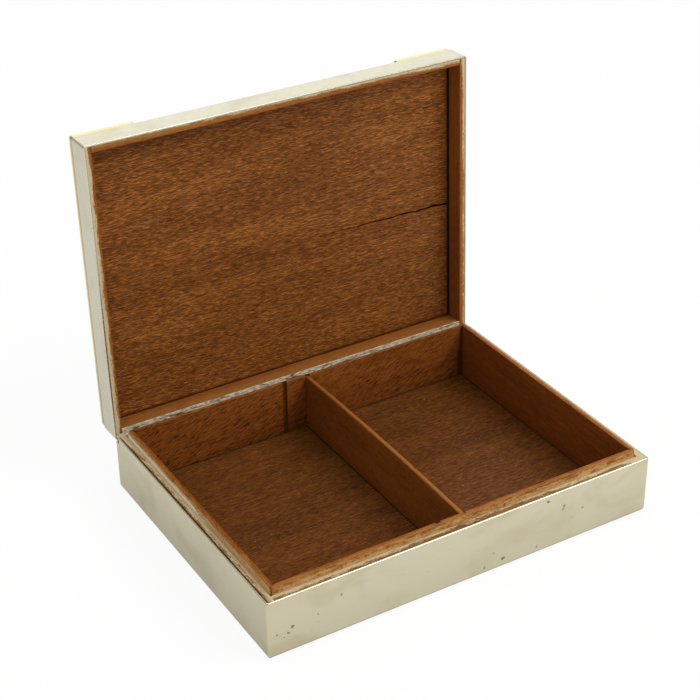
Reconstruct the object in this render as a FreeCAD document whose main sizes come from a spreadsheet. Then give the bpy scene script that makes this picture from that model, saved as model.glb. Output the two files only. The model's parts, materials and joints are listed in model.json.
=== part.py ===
import FreeCAD, Part
import os
import re

# Driving sizes of the box, in millimetres and degrees.
SIZES = {
    "box_width": 165,  # outside, along the hinge
    "box_depth": 122.5,  # outside, front to back
    "base_height": 24.8,  # from the rest face to the metal rim
    "lid_height": 11,  # from the lid's rim to its metal top
    "lid_angle": 92,  # how far the lid opens before it meets its stop
    "skin": 0.7,  # sheet metal
    "side_round": 0.9,  # upright metal corners
    "foot_round": 1.6,  # bottom metal edges
    "lid_round": 0.8,  # top metal edges
    "flange_width": 4.5,  # metal turned in under the baseboard
    "flange_lift": 0.4,  # metal held clear of the table
    "flange_fit": 0.2,  # round the baseboard in the flange's opening
    "baseboard_thickness": 1.3,  # above the flange
    "floor_thickness": 1.2,
    "ledge": 3.4,  # from the outside to the foot of the lip
    "left_gap": 0.45,  # dried-out gap between the metal and the left rail
    "lining_thickness": 2.3,
    "lip_height": 2.8,  # lining above the ledge
    "lip_setback": 0.4,  # how far the lip's bevel leans in
    "lip_corner": 2,  # rounding of the lip in plan
    "lip_relief": 1,  # lip cut back along the hinge, for the thicker lid strip there
    "divider_thickness": 1.9,
    "divider_drop": 0.5,  # divider's top below the lip's top
    "divider_offset": 0.7,  # divider's middle to the right of the box's middle
    "divider_slip": 0.1,  # on each side of the divider and at its ends
    "groove_depth": 0.9,
    "spare_groove": 10.8,  # from the divider to the empty grooves on its left
    "rim_gap": 0.1,  # between the two metal rims when shut
    "lip_clearance": 0.25,  # between the lip's foot and the lid's strips
    "panel_thickness": 2.4,
    "panel_fit": 0.1,  # on the panel's front, back and left
    "panel_shrink": 0.7,  # dried-out gap on the panel's right
    "band_width": 25.5,
    "band_thickness": 2.8,
    "band_inset": 0.3,  # from the lid's outer edges
    "band_round": 0.5,
    "hinge_inset": 1.4,  # hinge axis from the back face
    "hinge_drop": 1.3,  # hinge axis below the base's rim
    "hinge_end": 0.2,  # hinge's ends from the box's sides
    "stop_gap": 0.05,  # between the open lid's back and the base's back
    "leaf_thickness": 0.5,
    "web_width": 1.2,  # metal that joins each knuckle to its leaf
    "knuckle_count": 5,
    "knuckle_radius": 1.1,
    "knuckle_gap": 0.2,
    "pin_radius": 0.5,
    "pin_clearance": 0.05,
    "pin_recess": 0.4,  # pin's ends inside the outer knuckles
}
OVERCUT = 1  # how far a cut runs past the surface it opens
CLOSE = 1e-6

# Faces and levels that several pieces share, as formulas of the sizes.
right = "(box_width / 2)"
left = f"(-{right})"
back = "(box_depth / 2)"
front = f"(-{back})"
flange_top = "(flange_lift + skin)"
rail_foot = f"({flange_top} + baseboard_thickness)"
floor_top = f"({rail_foot} + floor_thickness)"
lip_top = "(base_height + lip_height)"
lining_x = f"({right} - ledge)"
lining_y = f"({back} - ledge)"
inside_x = f"({lining_x} - lining_thickness)"
inside_y = f"({lining_y} - lining_thickness)"
axis_y = f"({back} - hinge_inset)"
axis_z = "(base_height - hinge_drop)"
stop_height = f"({axis_z} - hinge_inset * tan(lid_angle / 2) - stop_gap)"
lid_rim = "(base_height + rim_gap)"
lid_top = f"({lid_rim} + lid_height)"
panel_top = f"({lid_top} - skin)"
panel_foot = f"({panel_top} - panel_thickness)"
strip_x = f"({lining_x} + lip_clearance)"
strip_y = f"({lining_y} + lip_clearance)"
relief_y = f"({lining_y} - lip_relief)"
strip_back = f"({relief_y} + lip_clearance)"
knuckle_length = "((box_width - 2 * hinge_end + knuckle_gap) / knuckle_count - knuckle_gap)"

doc = FreeCAD.newDocument("lined_box")
sheet = doc.addObject("Spreadsheet::Sheet", "sizes")
for row, (alias, value) in enumerate(SIZES.items(), start=1):
    sheet.set(f"A{row}", alias)
    sheet.set(f"B{row}", str(value))
    sheet.setAlias(f"B{row}", alias)
doc.recompute()


def formula(text):
    """The formula with each size's name tied to its cell in the sheet."""
    return re.sub(r"[a-z_]+", lambda word: f"sizes.{word[0]}" if word[0] in SIZES else word[0], text)


def set_faces(box, x, y, z):
    """Puts a box between a low and a high face on each axis, given as formulas."""
    for side, axis, (low, high) in (("Length", "x", x), ("Width", "y", y), ("Height", "z", z)):
        box.setExpression(side, formula(f"({high}) - ({low})"))
        box.setExpression(f"Placement.Base.{axis}", formula(low))
    return box


def block(name, x, y, z):
    """A box outside any body, for a cut or a join."""
    return set_faces(doc.addObject("Part::Box", name), x, y, z)


def board(name, x, y, z):
    """A body that starts as one rectangular board."""
    body = doc.addObject("PartDesign::Body", name)
    set_faces(body.newObject("PartDesign::AdditiveBox", f"{name}_board"), x, y, z)
    return body


def add_step(body, name, x, y, z):
    """Adds a second rectangular step to a body."""
    set_faces(body.newObject("PartDesign::AdditiveBox", name), x, y, z)


def cut_box(body, name, x, y, z):
    """Cuts a rectangular space out of a body and makes sure that it took something away."""
    whole = body.Tip
    cut = set_faces(body.newObject("PartDesign::SubtractiveBox", name), x, y, z)
    doc.recompute()
    if cut.Shape.Volume > whole.Shape.Volume - CLOSE:
        raise RuntimeError(f"{name} cuts nothing from {body.Label}")


def upright(edge, shape):
    """Whether an edge stands straight up."""
    return edge.BoundBox.XLength < CLOSE and edge.BoundBox.YLength < CLOSE


def lowest(edge, shape):
    """Whether an edge lies on the shape's underside."""
    return edge.BoundBox.ZMax < shape.BoundBox.ZMin + CLOSE


def highest(edge, shape):
    """Whether an edge lies on the shape's top."""
    return edge.BoundBox.ZMin > shape.BoundBox.ZMax - CLOSE


def dress_edges(body, kind, name, chosen, **sizes):
    """Rounds or bevels the edges of a body that the test chooses."""
    doc.recompute()
    bare = body.Tip
    edges = enumerate(bare.Shape.Edges, start=1)
    dressed = body.newObject(kind, name)
    dressed.Base = (bare, [f"Edge{place}" for place, edge in edges if chosen(edge, bare.Shape)])
    for side, size in sizes.items():
        dressed.setExpression(side, formula(size))
    return dressed


def rod(name, radius, start, length):
    """A round bar on the hinge axis from a start along the width."""
    bar = doc.addObject("Part::Cylinder", name)
    bar.Placement = FreeCAD.Placement(FreeCAD.Vector(), FreeCAD.Rotation(FreeCAD.Vector(0, 1, 0), 90))
    bar.setExpression("Radius", formula(radius))
    bar.setExpression("Height", formula(length))
    bar.setExpression("Placement.Base.x", formula(start))
    bar.setExpression("Placement.Base.y", formula(axis_y))
    bar.setExpression("Placement.Base.z", formula(axis_z))
    return bar


def boolean(kind, name, base, tool):
    """One piece cut by another, or what the two share."""
    result = doc.addObject(kind, name)
    result.Base = base
    result.Tool = tool
    return result


def join(name, shapes):
    """Several shapes as one."""
    joined = doc.addObject("Part::MultiFuse", name)
    joined.Shapes = shapes
    return joined


def cut_rebate(body):
    """Clears the hinge's channel along the top of the base's back."""
    cut_box(
        body,
        f"{body.Label}_rebate",
        (f"{left} - {OVERCUT}", f"{right} + {OVERCUT}"),
        (lining_y, f"{back} + {OVERCUT}"),
        (stop_height, f"base_height + {OVERCUT}"),
    )


def base_case():
    """Sheet metal round the base, turned in underneath as a flange."""
    case = board("base_case", (left, right), (front, back), ("flange_lift", "base_height"))
    dress_edges(case, "PartDesign::Fillet", "case_corners", upright, Radius="side_round")
    dress_edges(case, "PartDesign::Fillet", "case_foot", lowest, Radius="foot_round")
    cut_box(
        case,
        "case_inside",
        (f"{left} + skin", f"{right} - skin"),
        (f"{front} + skin", f"{back} - skin"),
        (flange_top, f"base_height + {OVERCUT}"),
    )
    cut_box(
        case,
        "flange_opening",
        (f"{left} + skin + flange_width", f"{right} - skin - flange_width"),
        (f"{front} + skin + flange_width", f"{back} - skin - flange_width"),
        (f"flange_lift - {OVERCUT}", f"{flange_top} + {OVERCUT}"),
    )
    cut_rebate(case)
    return case


def baseboard():
    """Bottom board: a wide step on the flange and a narrow step through its opening to the table."""
    wide = (f"{left} + skin", f"{right} - skin"), (f"{front} + skin", f"{back} - skin")
    edge = "(skin + flange_width + flange_fit)"
    narrow = (f"{left} + {edge}", f"{right} - {edge}"), (f"{front} + {edge}", f"{back} - {edge}")
    bottom = board("baseboard", *wide, (flange_top, rail_foot))
    add_step(bottom, "rest_step", *narrow, ("0", flange_top))
    return bottom


def base_rails():
    """Carcass behind the metal: the sides run through, front and back stand between them."""
    through = f"{front} + skin", f"{back} - skin"
    height = rail_foot, "base_height"
    left_rail = board("base_rail_left", (f"{left} + skin + left_gap", f"-{lining_x}"), through, height)
    right_rail = board("base_rail_right", (lining_x, f"{right} - skin"), through, height)
    cut_rebate(left_rail)
    cut_rebate(right_rail)
    between = f"-{lining_x}", lining_x
    front_rail = board("base_rail_front", between, (f"{front} + skin", f"-{lining_y}"), height)
    leaf_seat = f"{stop_height} - leaf_thickness"
    back_rail = board("base_rail_back", between, (lining_y, f"{back} - skin"), (rail_foot, leaf_seat))
    return [front_rail, back_rail, left_rail, right_rail]


def lining_ring():
    """The four lining boards in one ring, with the lip's rounded corners, bevel and relief at the hinge."""
    sides = (f"-{lining_x}", lining_x), (f"-{lining_y}", lining_y)
    ring = board("lining_ring", *sides, (floor_top, lip_top))
    dress_edges(ring, "PartDesign::Fillet", "lip_corners", upright, Radius="lip_corner")
    bevel = dress_edges(
        ring, "PartDesign::Chamfer", "lip_bevel", highest, Size="lip_height", Size2="lip_setback"
    )
    bevel.ChamferType = "Two distances"
    cut_box(
        ring,
        "lining_inside",
        (f"-{inside_x}", inside_x),
        (f"-{inside_y}", inside_y),
        (f"{floor_top} - {OVERCUT}", f"{lip_top} + {OVERCUT}"),
    )
    cut_box(
        ring,
        "hinge_relief",
        (f"-{lining_x} - {OVERCUT}", f"{lining_x} + {OVERCUT}"),
        (relief_y, f"{lining_y} + {OVERCUT}"),
        ("base_height", f"{lip_top} + {OVERCUT}"),
    )
    return ring


def mitred(name, ring, turn, outer_end, inner_end, outer_face, inner_face):
    """One side of the ring, between mitres that lean in from its outer to its inner face."""
    wedge = doc.addObject("Part::Wedge", f"{name}_mitres")
    wedge.Placement = FreeCAD.Placement(FreeCAD.Vector(), FreeCAD.Rotation(FreeCAD.Vector(0, 0, 1), turn))
    limits = {
        "Ymin": f"-{outer_face}",
        "Ymax": f"-{inner_face}",
        "Xmin": f"-{outer_end}",
        "Xmax": outer_end,
        "X2min": f"-{inner_end}",
        "X2max": inner_end,
    }
    for near, far in (("Zmin", "Zmax"), ("Z2min", "Z2max")):
        limits |= {near: floor_top, far: lip_top}
    for side, size in limits.items():
        wedge.setExpression(side, formula(size))
    return boolean("Part::Common", name, ring, wedge)


def grooves():
    """Upright grooves that take the divider, at its place and at the spare one."""
    cuts = []
    for name, middle in (("divider_groove", "divider_offset"), ("empty_groove", "(divider_offset - spare_groove)")):
        half = "(divider_thickness / 2 + divider_slip)"
        reach = f"({inside_y} + groove_depth)"
        sides = f"{middle} - {half}", f"{middle} + {half}"
        cuts.append(block(name, sides, (f"-{reach}", reach), (floor_top, f"{lip_top} + {OVERCUT}")))
    return join("groove_pairs", cuts)


def linings():
    """Mitred lining boards, with the divider's grooves in front and back."""
    ring = lining_ring()
    slots = grooves()
    long_side = lining_x, inside_x, lining_y, inside_y
    short_side = lining_y, inside_y, lining_x, inside_x
    front_lining = boolean("Part::Cut", "lining_front", mitred("front_lining", ring, 0, *long_side), slots)
    back_lining = boolean("Part::Cut", "lining_back", mitred("back_lining", ring, 180, *long_side), slots)
    right_lining = mitred("lining_right", ring, 90, *short_side)
    left_lining = mitred("lining_left", ring, 270, *short_side)
    return [front_lining, back_lining, left_lining, right_lining]


def divider():
    """Loose board that slips down the grooves on to the floor."""
    half = "(divider_thickness / 2)"
    reach = f"({inside_y} + groove_depth - divider_slip)"
    height = f"{floor_top} + divider_slip", f"{lip_top} - divider_drop"
    sides = f"divider_offset - {half}", f"divider_offset + {half}"
    return board("divider", sides, (f"-{reach}", reach), height)


def knuckles(name, first, web):
    """Every second tube of the hinge, each joined by its web to the leaf."""
    tubes = []
    for place in range(first, SIZES["knuckle_count"], 2):
        start = f"({left} + hinge_end + {place} * ({knuckle_length} + knuckle_gap))"
        tubes.append(rod(f"{name}_tube_{place}", "knuckle_radius", start, knuckle_length))
        sides = f"{axis_y} - web_width / 2", f"{axis_y} + web_width / 2"
        tubes.append(block(f"{name}_web_{place}", (start, f"{start} + {knuckle_length}"), sides, web))
    bore = rod(f"{name}_bore", "pin_radius + pin_clearance", left, "box_width")
    return boolean("Part::Cut", name, join(f"{name}_solid", tubes), bore)


def hinge():
    """Piano hinge along the back: two leaves, their knuckles and the pin."""
    between = f"-{lining_x}", lining_x
    base_level = f"{stop_height} - leaf_thickness", stop_height
    base_leaf = board("hinge_base_leaf", between, (lining_y, f"{back} - skin"), base_level)
    base_knuckles = knuckles("hinge_base_knuckles", 0, (stop_height, axis_z))
    pin_start = f"{left} + hinge_end + pin_recess"
    pin = rod("hinge_pin", "pin_radius", pin_start, "box_width - 2 * (hinge_end + pin_recess)")
    lid_level = lid_rim, f"{lid_rim} + leaf_thickness"
    lid_leaf = board("hinge_lid_leaf", (f"-{strip_x}", strip_x), (strip_back, f"{back} - skin"), lid_level)
    lid_knuckles = knuckles("hinge_lid_knuckles", 1, (axis_z, lid_rim))
    return [base_leaf, base_knuckles, pin], [lid_leaf, lid_knuckles]


def lid_case():
    """Sheet metal over the lid's top and sides."""
    case = board("lid_case", (left, right), (front, back), (lid_rim, lid_top))
    dress_edges(case, "PartDesign::Fillet", "lid_corners", upright, Radius="side_round")
    dress_edges(case, "PartDesign::Fillet", "lid_edges", highest, Radius="lid_round")
    cut_box(
        case,
        "lid_inside",
        (f"{left} + skin", f"{right} - skin"),
        (f"{front} + skin", f"{back} - skin"),
        (f"{lid_rim} - {OVERCUT}", panel_top),
    )
    return case


def lid_rails():
    """Strips inside the lid's rim: the sides run through, front and thicker back stand between them."""
    through = f"{front} + skin", f"{back} - skin"
    height = lid_rim, panel_top
    left_rail = board("lid_rail_left", (f"{left} + skin", f"-{strip_x}"), through, height)
    right_rail = board("lid_rail_right", (strip_x, f"{right} - skin"), through, height)
    between = f"-{strip_x}", strip_x
    front_rail = board("lid_rail_front", between, (f"{front} + skin", f"-{strip_y}"), height)
    over_leaf = f"{lid_rim} + leaf_thickness", panel_top
    back_rail = board("lid_rail_back", between, (strip_back, f"{back} - skin"), over_leaf)
    return [front_rail, back_rail, left_rail, right_rail]


def lid_panel():
    """Wooden panel under the metal top, shrunk away from the right strip."""
    return board(
        "lid_panel",
        (f"-{strip_x} + panel_fit", f"{strip_x} - panel_shrink"),
        (f"-{strip_y} + panel_fit", f"{strip_back} - panel_fit"),
        (panel_foot, panel_top),
    )


def brass_band(name, low, high):
    """Flat band across the outside of the lid, rounded on its outer edges."""
    depth = f"{front} + band_inset", f"{back} - band_inset"
    band = board(name, (low, high), depth, (lid_top, f"{lid_top} + band_thickness"))
    dress_edges(band, "PartDesign::Fillet", f"{name}_edges", highest, Radius="band_round")
    return band


def open_lid(piece):
    """Turns a piece of the shut lid about the hinge axis until it meets its stop."""
    piece.Placement = FreeCAD.Placement(FreeCAD.Vector(), FreeCAD.Rotation(FreeCAD.Vector(1, 0, 0), -90))
    piece.setExpression("Placement.Rotation.Angle", formula("-lid_angle"))
    away = f"{axis_y} * (1 - cos(lid_angle)) - {axis_z} * sin(lid_angle)"
    lift = f"{axis_z} * (1 - cos(lid_angle)) + {axis_y} * sin(lid_angle)"
    piece.setExpression("Placement.Base.y", formula(away))
    piece.setExpression("Placement.Base.z", formula(lift))


base_hinge, lid_hinge = hinge()
floor_sides = (f"-{lining_x}", lining_x), (f"-{lining_y}", lining_y)
floor_board = board("floor_board", *floor_sides, (rail_foot, floor_top))
base_pieces = [base_case(), baseboard(), floor_board, *base_rails(), *linings(), divider(), *base_hinge]
left_band = brass_band("brass_band_left", f"{left} + band_inset", f"{left} + band_inset + band_width")
right_band = brass_band("brass_band_right", f"{right} - band_inset - band_width", f"{right} - band_inset")
lid_pieces = [lid_case(), *lid_rails(), lid_panel(), left_band, right_band, *lid_hinge]
for lid_piece in lid_pieces:
    open_lid(lid_piece)
doc.recompute()

pieces = base_pieces + lid_pieces
faulty = [item.Label for item in doc.Objects if "Invalid" in item.State or "Error" in item.State]
faulty += [piece.Label for piece in pieces if piece.Shape.isNull() or not piece.Shape.isValid()]
if faulty:
    raise RuntimeError(f"not built: {faulty}")
os.makedirs("parts", exist_ok=True)
for piece in pieces:
    piece.Shape.exportStep(f"parts/{piece.Label}.step")
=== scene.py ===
import json
import math

import bmesh
import bpy
import numpy as np
from mathutils import Matrix, Vector


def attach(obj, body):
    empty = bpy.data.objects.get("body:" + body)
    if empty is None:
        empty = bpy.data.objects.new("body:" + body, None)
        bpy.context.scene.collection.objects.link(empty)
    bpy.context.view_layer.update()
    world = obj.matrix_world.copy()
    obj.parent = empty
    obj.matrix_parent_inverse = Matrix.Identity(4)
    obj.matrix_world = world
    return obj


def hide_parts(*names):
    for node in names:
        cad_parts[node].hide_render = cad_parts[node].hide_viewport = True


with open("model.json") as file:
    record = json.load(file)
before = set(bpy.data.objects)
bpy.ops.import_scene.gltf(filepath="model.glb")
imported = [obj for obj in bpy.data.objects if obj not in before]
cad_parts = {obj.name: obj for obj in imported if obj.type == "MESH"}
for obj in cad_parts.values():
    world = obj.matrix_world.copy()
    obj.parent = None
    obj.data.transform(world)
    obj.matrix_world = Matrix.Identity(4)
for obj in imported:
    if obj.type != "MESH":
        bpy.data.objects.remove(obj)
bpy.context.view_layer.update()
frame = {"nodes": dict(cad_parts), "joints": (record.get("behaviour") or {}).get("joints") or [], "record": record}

# Shapes are worked out in millimetres with the lid shut, and stored in metres with it open.
MM = 0.001
ARC = 5  # steps round each rounded edge
WELD = 0.002  # points closer than this become one
SMOOTH_ANGLE = math.radians(40)  # edges that turn more than this stay sharp
STEP_GAP = 0.02  # between the two sides of a sharp step
STRAIGHT = 0.999999  # the largest cosine that a corner's angle is taken from
SHEET = 0.7  # thickness of the silver-coloured sheet
SHEET_CORNER = 0.9  # radius of the sheet's upright corners
SPARE_GROOVE = 10.8  # from the divider's grooves to the empty pair
KNUCKLES = 5

hinge_joint = next(joint for joint in frame["joints"] if joint["name"] == "lid_hinge")
hinge_axis = np.array(hinge_joint["pos_m"]) / MM
open_angle = -math.radians(hinge_joint["range_deg"][0])
bodies = frame["record"]["behaviour"]["bodies"]
body_of = {part: body for body, parts in bodies.items() for part in parts}


def swing(points, angle):
    """Points turned back about the hinge axis: depth and height mix by the angle's cosine and sine."""
    cosine, sine = math.cos(angle), math.sin(angle)
    turn = np.array([[1, 0, 0], [0, cosine, sine], [0, -sine, cosine]])
    return (points - hinge_axis) @ turn.T + hinge_axis


def span(part):
    """Lowest and highest corner of a CAD node in millimetres, with the lid shut."""
    vertices = frame["nodes"][part].data.vertices
    points = np.empty(len(vertices) * 3)
    vertices.foreach_get("co", points)
    points = points.reshape(-1, 3) / MM
    if body_of[part] == "lid":
        points = swing(points, -open_angle)
    return points.min(0).round(3), points.max(0).round(3)


def waves(first, second, seed):
    """Unevenness from -1 to 1: four sine waves over two directions, each with its own pitch and phase."""
    pitch = np.array([0.11, 0.23, 0.47, 0.81])
    phase = np.array([1.3, 4.1, 2.6, 5.2]) * seed
    level = np.stack([first, second], -1) @ np.array([[1, 0.7, -0.4, 0.9], [0.6, -1, 1.2, -0.5]])
    return np.sin(level * pitch + phase) @ np.array([0.4, 0.3, 0.2, 0.1])


def grid_faces(rows, columns, start):
    """Four-sided faces between neighbouring rows and columns of a grid of points."""
    corner = start + np.arange(rows - 1)[:, None] * columns + np.arange(columns - 1)
    return np.stack([corner, corner + 1, corner + columns + 1, corner + columns], -1).reshape(-1, 4)


def make_piece(part, grids, material, fields, uneven=None):
    """One piece from grids of points, welded where they meet, with its fields stored on its points."""
    sizes = [grid.shape[0] * grid.shape[1] for grid in grids]
    starts = np.concatenate([[0], np.cumsum(sizes)[:-1]]).astype(int)
    faces = np.concatenate([grid_faces(*grid.shape[:2], start) for grid, start in zip(grids, starts)])
    points = np.concatenate([grid.reshape(-1, 3) for grid in grids])
    mesh = bpy.data.meshes.new(f"{part}_dressed")
    mesh.from_pydata(points.tolist(), [], faces.tolist())
    shell = bmesh.new()
    shell.from_mesh(mesh)
    bmesh.ops.remove_doubles(shell, verts=shell.verts, dist=WELD)
    bmesh.ops.recalc_face_normals(shell, faces=shell.faces)
    shell.to_mesh(mesh)
    shell.free()
    points = np.empty(len(mesh.vertices) * 3)
    mesh.vertices.foreach_get("co", points)
    points = points.reshape(-1, 3)
    for word, formula in fields.items():
        values = np.asarray(formula(points), np.float32)
        kind, key = ("FLOAT_VECTOR", "vector") if values.ndim == 2 else ("FLOAT", "value")
        mesh.attributes.new(word, kind, "POINT").data.foreach_set(key, values.ravel())
    if uneven:
        points = uneven(points)
    if body_of[part] == "lid":
        points = swing(points, open_angle)
    mesh.vertices.foreach_set("co", (points * MM).ravel())
    mesh.update()
    mesh.shade_smooth()
    mesh.set_sharp_from_angle(angle=SMOOTH_ANGLE)
    mesh.materials.append(material)
    piece = bpy.data.objects.new(f"{part}_dressed", mesh)
    bpy.context.scene.collection.objects.link(piece)
    weighted = piece.modifiers.new("flat_faces", "WEIGHTED_NORMAL")
    weighted.keep_sharp = True
    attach(piece, body_of[part])
    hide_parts(part)


def even(count):
    """Even shares of a side, from -1 at one end to 1 at the other."""
    return np.linspace(-1, 1, count)


def lines(low, high, rounding, step, extra=()):
    """Grid lines from low to high: tangents round each end, even steps between, and any extra ones."""
    inwards = rounding * (1 - np.tan(np.linspace(math.pi / 4, 0, ARC + 1)))
    count = max(round((high - low - 2 * rounding) / step), 1)
    between = np.linspace(low + rounding, high - rounding, count + 1)
    places = [low + inwards, between, np.array(extra, float), high - inwards]
    return np.unique(np.concatenate(places).round(4))


def rounded_board(low, high, rounding, steps, extra=((), (), ())):
    """A box whose points are put one rounding away from a smaller box inside it, so every edge is round."""
    rule = [lines(low[axis], high[axis], rounding, steps[axis], extra[axis]) for axis in range(3)]
    grids = []
    for axis in range(3):
        first, second = [other for other in range(3) if other != axis]
        for level in (low[axis], high[axis]):
            grid = np.full((len(rule[first]), len(rule[second]), 3), level)
            grid[..., first] = rule[first][:, None]
            grid[..., second] = rule[second]
            core = np.clip(grid, low + rounding, high - rounding)
            away = grid - core
            grids.append(core + rounding * away / np.linalg.norm(away, axis=-1, keepdims=True))
    return grids


def rounded_line(corners):
    """A line of (place, height, radius) corners, each turned into an arc of its radius."""
    corners = np.array(corners, float)
    points, radii = corners[:, :2], corners[:, 2:]
    back = np.roll(points, 1, 0) - points
    ahead = np.roll(points, -1, 0) - points
    back /= np.linalg.norm(back, axis=1, keepdims=True)
    ahead /= np.linalg.norm(ahead, axis=1, keepdims=True)
    half = np.arccos(np.clip((back * ahead).sum(1, keepdims=True), -STRAIGHT, STRAIGHT)) / 2
    middle = back + ahead
    middle /= np.maximum(np.linalg.norm(middle, axis=1, keepdims=True), 1e-9)
    centre = points + middle * radii / np.sin(half)
    start = points + back * radii / np.tan(half) - centre
    end = points + ahead * radii / np.tan(half) - centre
    turn = (math.pi - 2 * half)[:, :, None]
    share = np.linspace(0, 1, ARC + 1)[None, :, None]
    arc = np.sin((1 - share) * turn) * start[:, None] + np.sin(share * turn) * end[:, None]
    return (centre[:, None] + arc / np.sin(turn)).reshape(-1, 2)


def closed(section):
    """A section joined back to its first point."""
    return np.concatenate([section, section[:1]])


def joined(runs):
    """Runs of places put one after another, with each run's single values spread over its length."""
    spread = [np.broadcast_arrays(*(np.atleast_1d(part) for part in run)) for run in runs]
    return np.concatenate([np.stack(run) for run in spread], axis=1)


def stations(side_x, side_y):
    """Places round a rounded rectangle: shares of its half sizes and the direction faced, side by side."""
    quarter = np.linspace(0, math.pi / 2, 2 * ARC + 1)
    front = -math.pi / 2
    ring = joined([
        (side_x, -1, front),
        (1, -1, front + quarter),
        (1, side_y, 0),
        (1, 1, quarter),
        (side_x[::-1], 1, math.pi / 2),
        (-1, 1, math.pi / 2 + quarter),
        (-1, side_y[::-1], math.pi),
        (-1, -1, math.pi + quarter),
    ])
    return np.concatenate([ring, ring[:, :1]], axis=1)


def carried_round(middle, half, corner, profile, places):
    """A profile of (inset, height) carried round a rectangle that shrinks by the inset, corners and all."""
    inset, height = np.asarray(profile, float).T
    share_x, share_y, facing = places
    radius = np.maximum(corner - inset, 0)[:, None]
    reach = np.maximum(np.array(half) - inset[:, None] - radius, 0)
    x = middle[0] + share_x * reach[:, :1] + radius * np.cos(facing)
    y = middle[1] + share_y * reach[:, 1:] + radius * np.sin(facing)
    z = np.broadcast_to(height[:, None], x.shape)
    return np.stack([x, y, z], -1)


def node(tree, kind, values=None, **settings):
    """A shader node with its settings, and its inputs set to values or joined to other nodes' outputs."""
    made = tree.nodes.new(kind)
    for name, setting in settings.items():
        setattr(made, name, setting)
    for key, value in (values or {}).items():
        if isinstance(value, bpy.types.NodeSocket):
            tree.links.new(value, made.inputs[key])
        else:
            made.inputs[key].default_value = value
    return made


def calc(tree, operation, first, second):
    """One sum on two values."""
    return node(tree, "ShaderNodeMath", {0: first, 1: second}, operation=operation).outputs[0]


def times(tree, first, second):
    """One value scaled by another."""
    return calc(tree, "MULTIPLY", first, second)


def ease(tree, value, low, high, start=0.0, end=1.0):
    """A soft step from start to end as a value goes from low to high."""
    values = {"Value": value, "From Min": low, "From Max": high, "To Min": start, "To Max": end}
    return node(tree, "ShaderNodeMapRange", values, interpolation_type="SMOOTHSTEP").outputs["Result"]


def mix(tree, factor, first, second):
    """Two colours mixed by a factor."""
    return node(tree, "ShaderNodeMix", {0: factor, 6: first, 7: second}, data_type="RGBA").outputs[2]


def stretch(tree, vector, scale):
    """A place scaled along each direction."""
    return node(tree, "ShaderNodeVectorMath", {0: vector, 1: scale}, operation="MULTIPLY").outputs[0]


def object_place(tree):
    """A point's place on its piece, in metres."""
    return node(tree, "ShaderNodeTexCoord").outputs["Object"]


def noise(tree, vector, detail=2.0, distortion=0.0):
    """Cloudy noise of unit pitch."""
    values = {"Vector": vector, "Scale": 1.0, "Detail": detail, "Distortion": distortion}
    return node(tree, "ShaderNodeTexNoise", values).outputs[0]


def streaks(tree, grain_place, along, across, detail, distortion=0.0):
    """Noise drawn out along the grain, with so many steps to a millimetre along it and across it."""
    return noise(tree, stretch(tree, grain_place, (along, across, across)), detail, distortion)


def field(tree, name, output="Fac"):
    """A field stored on the piece's points."""
    return node(tree, "ShaderNodeAttribute", attribute_name=name).outputs[output]


def tint(red, green, blue):
    """A colour given in screen levels, as the shader's own numbers."""
    level = np.array([red, green, blue]) / 255
    level = np.where(level < 0.04045, level / 12.92, ((level + 0.055) / 1.055) ** 2.4)
    return (*level.tolist(), 1.0)


def effect(name, inputs, outputs):
    """An empty node group with its named inputs and outputs."""
    tree = bpy.data.node_groups.new(name, "ShaderNodeTree")
    kinds = {"vector": "NodeSocketVector", "value": "NodeSocketFloat"}
    for word, kind in inputs.items():
        tree.interface.new_socket(name=word, in_out="INPUT", socket_type=kinds[kind])
    for word in outputs:
        tree.interface.new_socket(name=word, in_out="OUTPUT", socket_type=kinds["value"])
    return tree, node(tree, "NodeGroupInput").outputs


def put_out(tree, **values):
    """Joins a group's results to its outputs."""
    node(tree, "NodeGroupOutput", {name.capitalize(): value for name, value in values.items()})
    return tree


def place(tree, group, **values):
    """An effect placed in a material; gives its outputs by name."""
    values = {name.capitalize(): value for name, value in values.items()}
    return node(tree, "ShaderNodeGroup", values, node_tree=group).outputs


def timber_effect():
    """Figure in broad bands, fibres in long streaks, slanted and waved dashes, open pores and dust."""
    given_names = {"Grain": "vector", "Dashes": "value", "Slant": "value", "Wave": "value"}
    tree, given = effect("timber", given_names, ("Tone", "Pores", "Height", "Dust"))
    straight = given["Grain"]
    parts = node(tree, "ShaderNodeSeparateXYZ", {0: straight}).outputs
    aside = calc(tree, "SUBTRACT", parts["Y"], times(tree, parts["X"], given["Slant"]))
    wave = streaks(tree, straight, along=0.16, across=0.3, detail=1.0)
    aside = calc(tree, "ADD", aside, times(tree, wave, given["Wave"]))
    turned_place = {"X": parts["X"], "Y": aside, "Z": parts["Z"]}
    slanted = node(tree, "ShaderNodeCombineXYZ", turned_place).outputs[0]
    figure = streaks(tree, straight, along=0.012, across=0.09, detail=3.0, distortion=0.6)
    fibre = streaks(tree, straight, along=0.05, across=1.1, detail=3.0)
    dash = streaks(tree, slanted, along=0.42, across=3.8, detail=2.0, distortion=0.4)
    pore = streaks(tree, slanted, along=0.28, across=2.6, detail=1.0, distortion=0.2)
    speck = streaks(tree, straight, along=1.1, across=1.1, detail=0.0)
    figure_share, fibre_share, ground = 0.34, 0.3, 0.18
    level = calc(tree, "ADD", times(tree, figure, figure_share), times(tree, fibre, fibre_share))
    dashes = times(tree, calc(tree, "SUBTRACT", dash, 0.5), given["Dashes"])
    tone = calc(tree, "ADD", calc(tree, "ADD", level, ground), dashes)
    pores = ease(tree, pore, 0.57, 0.68)
    height = calc(tree, "SUBTRACT", tone, pores)
    return put_out(tree, tone=tone, pores=pores, height=height, dust=ease(tree, speck, 0.83, 0.87))


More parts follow.
